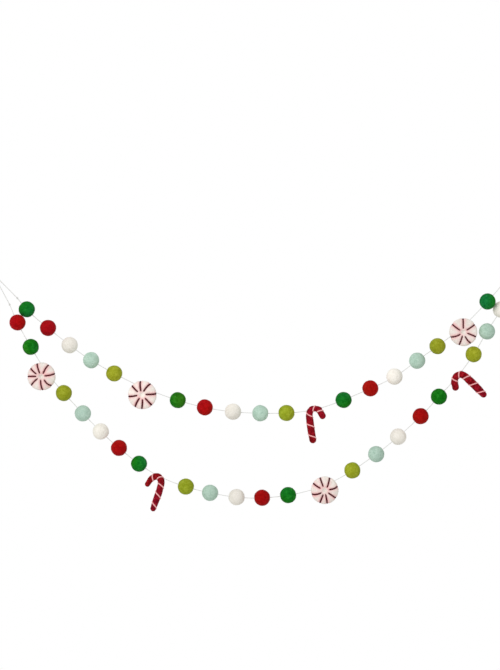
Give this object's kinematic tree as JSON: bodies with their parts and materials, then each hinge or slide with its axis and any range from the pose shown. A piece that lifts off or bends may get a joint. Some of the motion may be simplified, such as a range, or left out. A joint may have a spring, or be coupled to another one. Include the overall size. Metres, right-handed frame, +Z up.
{
  "type": "felt ball garland",
  "caption": "Felt balls, felt peppermint discs and felt candy canes threaded on a cotton string that hangs doubled in two swags.",
  "frame": {"origin": "the left hanging point, inside the two end loops of the string, where one hook holds both", "axes": "+X runs to the right hanging point, +Z is up, and the front faces -Y"},
  "size_m": [0.7179, 0.0327, 0.3258],
  "materials": {
    "felt_green": "needle-felted wool, matte and fuzzy, Christmas green",
    "felt_red": "needle-felted wool, matte and fuzzy, bright red",
    "felt_white": "needle-felted wool, matte and fuzzy, natural white",
    "felt_mint": "needle-felted wool, matte and fuzzy, pale mint",
    "felt_lime": "needle-felted wool, matte and fuzzy, yellow-green",
    "felt_cream": "needle-felted wool disc, matte, cream with deep red stitches",
    "felt_cane_red": "rolled wool felt, matte, deep red with pale pink yarn wound round it",
    "cotton_string": "thin twisted cotton, matte, off-white"
  },
  "bodies": {
    "root": {"ball_01_green": "felt_green", "ball_02_red": "felt_red", "ball_03_white": "felt_white", "ball_04_mint": "felt_mint", "ball_05_lime": "felt_lime", "ball_06_green": "felt_green", "ball_07_red": "felt_red", "ball_08_white": "felt_white", "ball_09_mint": "felt_mint", "ball_10_lime": "felt_lime", "ball_11_green": "felt_green", "ball_12_red": "felt_red", "ball_13_white": "felt_white", "ball_14_mint": "felt_mint", "ball_15_lime": "felt_lime", "ball_16_green": "felt_green", "ball_17_red": "felt_red", "ball_18_white": "felt_white", "ball_19_mint": "felt_mint", "ball_20_lime": "felt_lime", "ball_21_green": "felt_green", "ball_22_red": "felt_red", "ball_23_white": "felt_white", "ball_24_mint": "felt_mint", "ball_25_lime": "felt_lime", "ball_26_green": "felt_green", "ball_27_red": "felt_red", "ball_28_white": "felt_white", "ball_29_mint": "felt_mint", "ball_30_lime": "felt_lime", "ball_31_green": "felt_green", "ball_32_red": "felt_red", "ball_33_white": "felt_white", "ball_34_mint": "felt_mint", "ball_35_lime": "felt_lime", "ball_36_green": "felt_green", "ball_37_red": "felt_red", "candy_cane_1": "felt_cane_red", "candy_cane_2": "felt_cane_red", "candy_cane_3": "felt_cane_red", "knot_lower": "cotton_string", "knot_upper": "cotton_string", "loop_lower": "cotton_string", "loop_upper": "cotton_string", "peppermint_1": "felt_cream", "peppermint_2": "felt_cream", "peppermint_3": "felt_cream", "peppermint_4": "felt_cream", "string": "cotton_string"}
  },
  "joints": []
}
